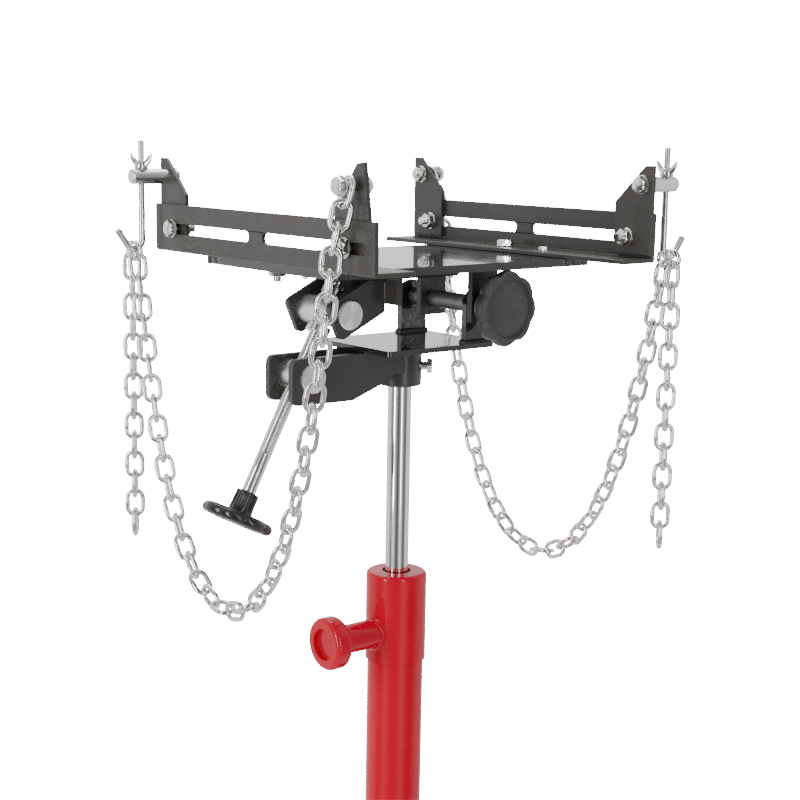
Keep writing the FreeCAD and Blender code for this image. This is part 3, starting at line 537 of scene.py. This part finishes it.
def make_beads():
    """Welds of the hinge lugs, of the lower clevis and of the upper clevis."""
    lugs = Piece()
    for y in YOKE_LUGS_Y:
        foot_bead(lugs, y, YOKE_TOP, 4.2)
    for y in (-26, 26):
        bead(lugs, [(-72, y, YOKE_UNDER), (-16, y, YOKE_UNDER)], 2.0)
    lugs.done("yoke_welds", "black_powder_coat", "yoke", (), 60)
    ears = Piece()
    for y in DECK_EARS_Y:
        foot_bead(ears, y, DECK_UNDER, 2.2)
    for y in (-42.5, 42.5):
        bead(ears, [(BRACKET_X, y, -22), (BRACKET_X, y, -45)], 2.0)
    ears.done("deck_welds", "black_powder_coat", "saddle", (), 60)


# ---------------------------------------------------------------- chains

LINK_WIRE = 5.8 * MM
LINK_INNER = 24.0 * MM
LINK_WIDTH = 24.0 * MM
LINK_PITCH = 23.4 * MM
LINK_TIP = (LINK_INNER + LINK_WIRE) / 2
LINK_STRAIGHT = (LINK_INNER + 2 * LINK_WIRE - LINK_WIDTH) / 2
SLACK = 0.3 * MM
# Millimetres: the J hook's rod, the centre of its bend, and the chain on its bolt.
HOOK_X = 224.0
HOOK_RADIUS = 10.5
HOOK_Z = 14.0
ROD_RADIUS = 4.0
BOLT_RADIUS = 5.0
CHAIN_OFFSET = 10.5
# The first links lean outward by this much, over the head of the clamp bolt.
DRAPE = 18 * MM
DRAPED_LINKS = 3
LOOP_COUNT = 42
TAIL_COUNT = 14
# Degrees.
HELD_TWIST, FREE_TWIST, WOBBLE = 6, 38, 3
# Side name, side, the upright whose bolt holds the chain, the upright whose hook takes it.
CHAINS = (
    ("left", -1, "left_near", "left_far"),
    ("right", 1, "right_far", "right_near"),
)


def link_rings():
    """Rings along one link's wire: two bends, two straights, and the weld on one side."""
    wire = LINK_WIRE / 2
    bend = LINK_WIDTH / 2 - wire
    straight = LINK_INNER / 2 + wire - bend
    path = []
    for side in (1, -1):
        for n in range(13):
            angle = (0 if side > 0 else math.pi) + math.pi * n / 12
            height = side * straight + bend * math.sin(angle)
            path.append((bend * math.cos(angle), height, angle))
        for n in range(1, 6):
            path.append((-side * bend, side * straight * (1 - 2 * n / 6), angle))
    rings = []
    for y, z, angle in path:
        weld = 1.0 + (0.13 if y > 0 and abs(z) < straight * 0.4 else 0.0)
        out = Vector((0, math.cos(angle), math.sin(angle)))
        ring = []
        for k in range(10):
            turn = TAU * k / 10
            way = out * math.cos(turn) + Vector((1, 0, 0)) * math.sin(turn)
            ring.append(Vector((0, y, z)) + way * wire * weld)
        rings.append(ring)
    return rings


LINK = link_rings()


def catenary(start, end, length, arcs):
    """Points and directions, at distances along it, of a chain hung between two points."""
    run = Vector((end.x - start.x, end.y - start.y, 0))
    span = run.length
    rise = end.z - start.z
    low, high = span / 200, span * 20
    for _ in range(200):
        sag = (low + high) / 2
        if 2 * sag * math.sinh(span / 2 / sag) > math.sqrt(length ** 2 - rise ** 2):
            low = sag
        else:
            high = sag
    middle = span / 2 - sag * math.asinh(rise / (2 * sag * math.sinh(span / 2 / sag)))
    first = sag * math.sinh(-middle / sag)
    points = []
    for distance in arcs:
        arc = first + distance
        across = middle + sag * math.asinh(arc / sag)
        height = sag * (math.cosh((across - middle) / sag) - math.cosh(middle / sag))
        place = start + run * (across / span) + Vector((0, 0, height))
        points.append((place, Vector((run.x / span, run.y / span, arc / sag)).normalized()))
    return points


def row_of_links(points, twist, first=0):
    """Links centred on the points, each a quarter turn on from the last, with its own twist."""
    piece = Piece()
    for n, (place, way) in enumerate(points, start=first):
        flat = Vector((1, 0, 0)) - way * way.x
        flat.normalize()
        across = way.cross(flat)
        turn = Matrix((flat, across, way)).transposed().to_4x4()
        roll = math.radians(90 * (n % 2) + twist[n] + WOBBLE * math.sin(2.4 * n))
        spin = Matrix.Rotation(roll, 4, "Z")
        piece.rings(LINK, Matrix.Translation(place) @ turn @ spin, closed=True)
    return piece


class Loop:
    """A chain from a bolt to a J hook: its first links lie over the head of the clamp bolt below,
    and the rest hang. Gives the point and direction at any distance along it."""

    def __init__(self, start, end, clamp_y):
        self.start = start
        self.end = end
        self.length = LINK_PITCH * (LOOP_COUNT - 1) + 2 * LINK_TIP
        self.draped = LINK_TIP + LINK_PITCH * (DRAPED_LINKS - 0.5)
        across = math.copysign(DRAPE, start.x)
        along = (clamp_y - start.y) / 3
        drop = math.sqrt(self.draped ** 2 - across ** 2 - along ** 2)
        self.knee = start + Vector((across, along, -drop))

    def at(self, distance):
        way = (self.knee - self.start).normalized()
        if distance < self.draped:
            return self.start + way * distance, way
        return catenary(self.knee, self.end, self.length - self.draped, [distance - self.draped])[0]


def loop_twists():
    """Twist of each link of a loop: held at both ends, turning evenly in between."""
    turns = [FREE_TWIST * (1 - 2 * n / (LOOP_COUNT - 1)) for n in range(LOOP_COUNT)]
    return [HELD_TWIST] + turns[1:-1] + [-HELD_TWIST]


def make_loop(side_name, held, hooked, loop):
    """The loop in two halves, each a row of links that takes the place of its CAD half."""
    points = [loop.at(LINK_TIP + LINK_PITCH * n) for n in range(LOOP_COUNT)]
    line = [p for p, _ in points]
    half = LOOP_COUNT // 2
    split = LINK_TIP + LINK_PITCH * (half - 0.5)
    joint = loop.at(split)[0]
    toward_hook = UPRIGHTS[hooked][1]
    parts = (
        ("bolt", 0, half, [loop.start, *line[:half], joint], held, loop.start, -toward_hook, split),
        ("hook", half, LOOP_COUNT, [joint, *line[half:], loop.end], hooked, loop.end, toward_hook,
         loop.length - split),
    )
    for part, first, last, path, upright, moving, way, length in parts:
        row = row_of_links(points[first:last], loop_twists(), first)
        obj = row.done(f"{side_name}_chain_{part}_links", "bright_zinc", None,
                       [f"{side_name}_chain_{part}_half"], 60)
        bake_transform(obj)


def make_chain(side_name, side, held, hooked):
    """Loop from a bolt to the link on the J hook, that link, and the spare tail below it."""
    wire = LINK_WIRE / 2
    hole = deck_point(*upright_hole(held, *CHAIN_HOLE))
    start = hole + Vector((side * CHAIN_OFFSET * MM, 0, BOLT_RADIUS * MM + wire + SLACK))
    _, end_sign, reach, _ = UPRIGHTS[hooked]
    rod_top = HOOK_Z - HOOK_RADIUS + ROD_RADIUS
    hook_y = end_sign * (reach + CHAIN_HOLE[0])
    on_hook = deck_point(side * (HOOK_X + HOOK_RADIUS), hook_y, rod_top)
    on_hook.z += SLACK + 2 * wire - LINK_WIDTH / 2
    beside = Vector((0, end_sign * LINK_STRAIGHT, 3 * wire + SLACK / 2 - LINK_WIDTH / 2))
    clamp_y = UPRIGHTS[held][1] * UPRIGHTS[held][2] * MM
    end = on_hook + Vector((0, -beside.y, beside.z))
    make_loop(side_name, held, hooked, Loop(start, end, clamp_y))
    hooked_link = row_of_links([(on_hook, Vector((0, 1, 0)))], [0])
    hooked_link.done(f"{side_name}_hooked_link", "bright_zinc", f"{side_name}_hook", (), 60)
    top = on_hook + beside
    down = Vector((0, 0, -1))
    tail = [(top + down * (LINK_TIP + LINK_PITCH * n), down) for n in range(TAIL_COUNT)]
    twist = [0, HELD_TWIST] + [FREE_TWIST] * (TAIL_COUNT - 1)
    obj = row_of_links(tail, twist, 1).done(f"{side_name}_chain_tail_links", "bright_zinc",
                                            f"{side_name}_hook", [f"{side_name}_chain_tail"], 60)


# ---------------------------------------------------------------- hooks and wing nuts

HOOK_THREAD_Z = 50
HOOK_THREAD_LENGTH = 77
HOOK_BEND = 145
HOOK_TIP = 21.2
HOOK_SIDES = 20


def make_hook(name, body):
    """J rod: thread above and below the bar, plain shank, bend and tip."""
    side, end_sign, reach, _ = UPRIGHTS[name]
    x, y = side * HOOK_X, end_sign * (reach + CHAIN_HOLE[0])
    place = deck_frame((x, y, HOOK_THREAD_Z), (0, 0, 1))
    piece = Piece()
    piece.thread(ROD_RADIUS, 0, HOOK_THREAD_LENGTH, THREAD_PITCH[8], 0.6, place, HOOK_SIDES, 6)
    centre = Vector((x + side * HOOK_RADIUS, y, HOOK_Z))
    down = Vector((0, 0, -1))
    line = [(Vector((x, y, HOOK_THREAD_Z + 0.2)), down), (Vector((x, y, HOOK_Z)), down)]
    for n in range(1, 17):
        turn = math.radians(HOOK_BEND * n / 16)
        spot = centre + Vector((-side * math.cos(turn), 0, -math.sin(turn))) * HOOK_RADIUS
        line.append((spot, Vector((side * math.sin(turn), 0, -math.cos(turn)))))
    way = line[-1][1]
    line.append((line[-1][0] + way * HOOK_TIP, way))
    across = Vector((0, 1, 0))
    rings = []
    for k, (spot, way) in enumerate(line + [(line[-1][0] + way * 0.8, way)]):
        out = way.cross(across)
        radius = ROD_RADIUS * (0.8 if k == len(line) else 1.0)
        ring = []
        for n in range(HOOK_SIDES):
            angle = TAU * n / HOOK_SIDES
            offset = (across * math.cos(angle) + out * math.sin(angle)) * radius
            ring.append(deck_point(*(spot + offset)))
        rings.append(ring)
    piece.rings(rings)
    piece.done(f"{name}_j_hook", "bright_zinc", body, [f"{name}_chain_hook"])


BAR_RADIUS = 8.75
WING_TURN = {"left_far": 114, "right_near": 90}
WING_LEAN = 0.8
# Across from the nut's axis, height, half height and half thickness along one wing.
WING_LINE = ((2.0, 3.6, 4.2, 3.2), (6.0, 5.4, 4.6, 2.2), (9.5, 8.6, 4.9, 1.6),
             (12.4, 12.2, 4.4, 1.3), (14.2, 15.4, 2.9, 1.2), (14.9, 17.3, 1.0, 0.8))


def make_wing_nut(name, body):
    """Cast wing nut: a round hub with two upswept wings that thicken towards the hub."""
    side, end_sign, reach, _ = UPRIGHTS[name]
    base = SLOT_Z + CHAIN_HOLE[1] + BAR_RADIUS
    at = (side * HOOK_X, end_sign * (reach + CHAIN_HOLE[0]), base)
    place = deck_frame(at, (0, 0, 1), WING_TURN[name])
    piece = Piece()
    piece.polar([(0, 7.4), (0.6, 8.0), (3.0, 7.8), (7.5, 6.4), (8.6, 5.9), (9.0, 5.2)], place, 40)
    for turn in (-1, 1):
        rings = []
        for x, z, tall, thick in WING_LINE:
            ring = []
            for n in range(16):
                angle = TAU * n / 16
                lift = tall * math.cos(angle)
                across = turn * (x - WING_LEAN * 0.5 * lift)
                ring.append((across, thick * math.sin(angle), z + lift * 0.75))
            rings.append(ring)
        piece.rings(rings, place)
    piece.done(f"{name}_wing_nut_cast", "bright_zinc", body, [f"{name}_wing_nut"], 50)


# ---------------------------------------------------------------- knob, screw and handwheel

# Millimetres from the deck's top face: the knob's face and the two pins of the tilting screw.
KNOB_FACE = (57, -122, -52)
UPPER_PIN = Vector((-108, 0, -56))
LOWER_PIN = Vector((-145, 0, -125))
SCREW_WAY = (LOWER_PIN - UPPER_PIN).normalized()
# Along the screw, from the upper pin: the start of the screw and the handwheel's hub.
SCREW_START, WHEEL_HUB = -36, 218


def lobes(count, depth, sharpness=1.0, start=0.0):
    """Radius factor of a star grip: round lobes with narrow valleys between them."""
    def shape(angle, radius, height):
        wave = abs(math.cos(count / 2 * (angle - start))) ** sharpness
        return radius * (1 - depth * (1 - wave))
    return shape


def make_clamp_knob():
    """Star knob with a recessed face and a tapered hub."""
    place = deck_frame(KNOB_FACE, (0, 1, 0))
    rim, face = 42.8, 34.2
    grip = lobes(8, 0.105, 0.8, math.radians(4))

    def shape(angle, radius, height):
        if radius < face:
            return radius
        return radius - (radius - face) / (rim - face) * (rim - grip(angle, rim, height))

    piece = Piece()
    piece.polar([(1.3, 1.0), (1.4, 10.0), (1.8, 22.0), (2.6, 30.0), (3.0, 32.2), (2.4, 33.0),
                 (0.5, 33.4), (0.0, 34.2), (0.2, 36.5), (1.3, 40.0), (3.6, 42.2), (7.0, 42.8),
                 (11.0, 42.8), (14.0, 41.8), (15.6, 38.5), (16.0, 34.2), (16.2, 24.0), (17.5, 22.8),
                 (38.0, 17.4), (41.0, 16.9), (42.0, 15.5), (42.0, 8.0)], place, 160, shape)
    piece.done("star_knob", "black_plastic", "clamp_knob", ["clamp_knob"], 40)


def make_screw():
    """Tilting screw with its plain lower end, and the lobed handwheel with its fluted hub."""
    place = deck_frame(UPPER_PIN + SCREW_WAY * SCREW_START, SCREW_WAY)
    piece = Piece()
    piece.polar([(0, 7.0), (1.5, 8.5), (4, 8.5)], place, 32)
    piece.thread(8.5, 4, 207.5, 2.5, 0.8, place, 28, 8)
    piece.polar([(207.0, 7.0), (208.2, 7.9), (208.6, 8.0), (278.5, 8.0), (280, 7.0)], place, 40)
    piece.done("tilt_screw_thread", "bright_zinc", "tilt_screw", ["tilt_screw"], 42)
    place = deck_frame(UPPER_PIN + SCREW_WAY * WHEEL_HUB, SCREW_WAY)
    rim = lobes(8, 0.06, 0.9)

    def flutes(angle, radius, height):
        if height < 22 and radius > 9:
            return radius * (1 - 0.11 * (0.5 + 0.5 * math.cos(8 * angle)) ** 2)
        return rim(angle, radius, height) if radius > 32 else radius

    piece = Piece()
    piece.polar([(0, 8.4), (0, 12.2), (0.8, 13.0), (6, 13.2), (16, 13.4), (22, 13.7), (25.0, 14.6),
                 (27.2, 17.0), (27.8, 20.5), (27.6, 25.0), (26.6, 27.6), (24.8, 29.6), (24.1, 31.6),
                 (24.0, 34.0), (25.0, 37.6), (27.2, 40.2), (30.6, 41.0), (34.2, 40.2), (36.4, 37.6),
                 (37.0, 33.4), (37.0, 29.0), (36.0, 27.8),
                 (33.8, 27.2), (33.5, 14.0), (34.8, 13.0), (36.2, 12.0), (36.6, 10.6), (36.6, 8.3)],
                place, 160, flutes)
    wheel = piece.done("tilt_handwheel", "black_plastic", "tilt_screw", ["handwheel"], 40)
    wheel.data.materials[0] = SMOOTH_PLASTIC


# ---------------------------------------------------------------- light, floor and camera

# The floor is whole up to FLOOR_SOLID from the jack's axis and gone at FLOOR_SIZE.
FLOOR_SIZE = 1.15
FLOOR_SOLID = 0.32


def make_stage():
    """A round pale floor that fades out at its edge into the white room."""
    floor = bpy.data.objects.new("floor", bpy.data.meshes.new("floor"))
    disc = bmesh.new()
    bmesh.ops.create_circle(disc, cap_ends=True, segments=96, radius=FLOOR_SIZE)
    disc.to_mesh(floor.data)
    disc.free()
    s = Shader("pale_floor")
    s.colour(s.ramp(s.noise(0.7, 3), (0.86, 0.86, 0.86), (0.90, 0.90, 0.90)))
    s.roughness(s.ramp(s.noise(3, 3), 0.75, 0.85))
    reach = s.tree.nodes.new("ShaderNodeVectorMath")
    reach.operation = "LENGTH"
    s.link(s.place, reach.inputs[0])
    cube = s.tree.nodes.new("ShaderNodeMath")
    cube.operation = "POWER"
    cube.inputs[1].default_value = 3
    s.link(s.ramp(reach.outputs["Value"], 0.0, 1.0, FLOOR_SOLID, FLOOR_SIZE), cube.inputs[0])
    s.link(s.ramp(cube.outputs["Value"], 1.0, 0.0, 0.0, 1.0), s.bsdf.inputs["Alpha"])
    floor.data.materials.append(s.material)
    bpy.context.scene.collection.objects.link(floor)


WHITE_ROOM = 40.0
WORLD_LIGHT = 1.7
ROOM_TURN = math.radians(128)
ROOM = ((-180, 0.85), (-140, 0.78), (-100, 0.85), (-82, 0.45), (-72, 0.14), (-58, 0.30),
        (-45, 0.85), (-30, 0.40), (-14, 0.09), (-2, 0.10), (12, 0.30), (25, 1.00), (38, 0.50),
        (50, 0.12), (68, 0.14), (84, 0.60), (100, 0.80), (130, 0.55), (158, 0.65), (180, 0.85))
HEIGHT = ((-90, 0.55), (-20, 0.85), (8, 1.0), (30, 0.9), (90, 0.95))


def make_world():
    """White room. It looks brighter than its light is. Polished metal has bright panels and dark
    gaps all round to reflect: ROOM gives their grey by the angle about the jack, counted from
    the front corner, and HEIGHT by the angle above the horizon, in degrees."""
    world = bpy.data.worlds.new("studio")
    bpy.context.scene.world = world
    world.use_nodes = True
    tree = world.node_tree
    parts = tree.nodes.new("ShaderNodeSeparateXYZ")
    turn = tree.nodes.new("ShaderNodeVectorRotate")
    turn.rotation_type = "Z_AXIS"
    turn.inputs["Angle"].default_value = ROOM_TURN
    tree.links.new(tree.nodes.new("ShaderNodeTexCoord").outputs["Generated"], turn.inputs["Vector"])
    tree.links.new(turn.outputs["Vector"], parts.inputs["Vector"])

    def level(operation, sources, span, stops):
        """Grey by an angle, which the operation makes out of the sources."""
        angle = tree.nodes.new("ShaderNodeMath")
        angle.operation = operation
        for source, target in zip(sources, angle.inputs):
            tree.links.new(parts.outputs[source], target)
        spread = tree.nodes.new("ShaderNodeMapRange")
        spread.inputs["From Min"].default_value = -span
        spread.inputs["From Max"].default_value = span
        tree.links.new(angle.outputs["Value"], spread.inputs["Value"])
        ramp = tree.nodes.new("ShaderNodeValToRGB")
        for _ in stops[2:]:
            ramp.color_ramp.elements.new(0.5)
        for element, (at, grey) in zip(ramp.color_ramp.elements, stops):
            element.position = (math.radians(at) + span) / (2 * span)
            element.color = (grey, grey, grey, 1)
        tree.links.new(spread.outputs["Result"], ramp.inputs["Fac"])
        return ramp.outputs["Color"]

    both = tree.nodes.new("ShaderNodeMix")
    both.data_type = "RGBA"
    both.blend_type = "MULTIPLY"
    both.inputs["Factor"].default_value = 1.0
    tree.links.new(level("ARCTAN2", ("Y", "X"), math.pi, ROOM), both.inputs["A"])
    tree.links.new(level("ARCSINE", ("Z",), math.pi / 2, HEIGHT), both.inputs["B"])
    light = tree.nodes["Background"]
    tree.links.new(both.outputs["Result"], light.inputs["Color"])
    light.inputs["Strength"].default_value = WORLD_LIGHT
    seen = tree.nodes.new("ShaderNodeBackground")
    seen.inputs["Color"].default_value = (1, 1, 1, 1)
    seen.inputs["Strength"].default_value = WHITE_ROOM
    choose = tree.nodes.new("ShaderNodeMixShader")
    rays = tree.nodes.new("ShaderNodeLightPath")
    tree.links.new(rays.outputs["Is Camera Ray"], choose.inputs["Fac"])
    tree.links.new(light.outputs["Background"], choose.inputs[1])
    tree.links.new(seen.outputs["Background"], choose.inputs[2])
    tree.links.new(choose.outputs["Shader"], tree.nodes["World Output"].inputs["Surface"])


# Name, place, width and height, watts.
LIGHTS = (
    ("left_box", (-2.45, -0.30, 1.4), (0.34, 2.2), 42),
    ("front_strip", (-0.56, -2.4, 1.4), (0.14, 2.2), 13),
    ("top_box", (0.3, 0.6, 3.0), (1.6, 1.6), 28),
)
LIT_POINT = Vector((0, 0, 1.15))


def area_light(name, at, size, power):
    """Rectangular light that faces the saddle."""
    data = bpy.data.lights.new(name, "AREA")
    data.shape = "RECTANGLE"
    data.size, data.size_y = size
    data.energy = power
    obj = bpy.data.objects.new(name, data)
    obj.location = at
    obj.rotation_euler = (LIT_POINT - Vector(at)).to_track_quat("-Z", "Y").to_euler()
    bpy.context.scene.collection.objects.link(obj)


CAMERA_AT = (-1.1319, -1.3766, DECK + 0.1452)
# Degrees: to the right of +Y, downward, and about the line of sight.
CAMERA_HEADING, CAMERA_PITCH, CAMERA_ROLL = 38.083, 10.512, 0.755
CAMERA_LENS = 69.98
CAMERA_SHIFT = (0.0459, 0.0192)


def make_camera():
    """Camera a little above the saddle, left in front of it and looking down to the far right."""
    data = bpy.data.cameras.new("camera")
    data.sensor_width = 36
    data.lens = CAMERA_LENS
    data.shift_x, data.shift_y = CAMERA_SHIFT
    obj = bpy.data.objects.new("camera", data)
    turn = (Matrix.Rotation(-math.radians(CAMERA_HEADING), 4, "Z")
            @ Matrix.Rotation(math.pi / 2 - math.radians(CAMERA_PITCH), 4, "X")
            @ Matrix.Rotation(math.radians(CAMERA_ROLL), 4, "Z"))
    obj.matrix_world = Matrix.Translation(CAMERA_AT) @ turn
    bpy.context.scene.collection.objects.link(obj)
    bpy.context.scene.camera = obj


make_stage()
make_world()
for light_row in LIGHTS:
    area_light(*light_row)
make_camera()
for node_name, node in frame["nodes"].items():
    finish_node(node_name, node)
make_fasteners()
for chain_row in CHAINS:
    make_chain(*chain_row)
make_hook("left_far", "left_hook")
make_hook("right_near", "right_hook")
make_wing_nut("left_far", "left_wing_nut")
make_wing_nut("right_near", "right_wing_nut")
make_clamp_knob()
make_beads()
make_screw()
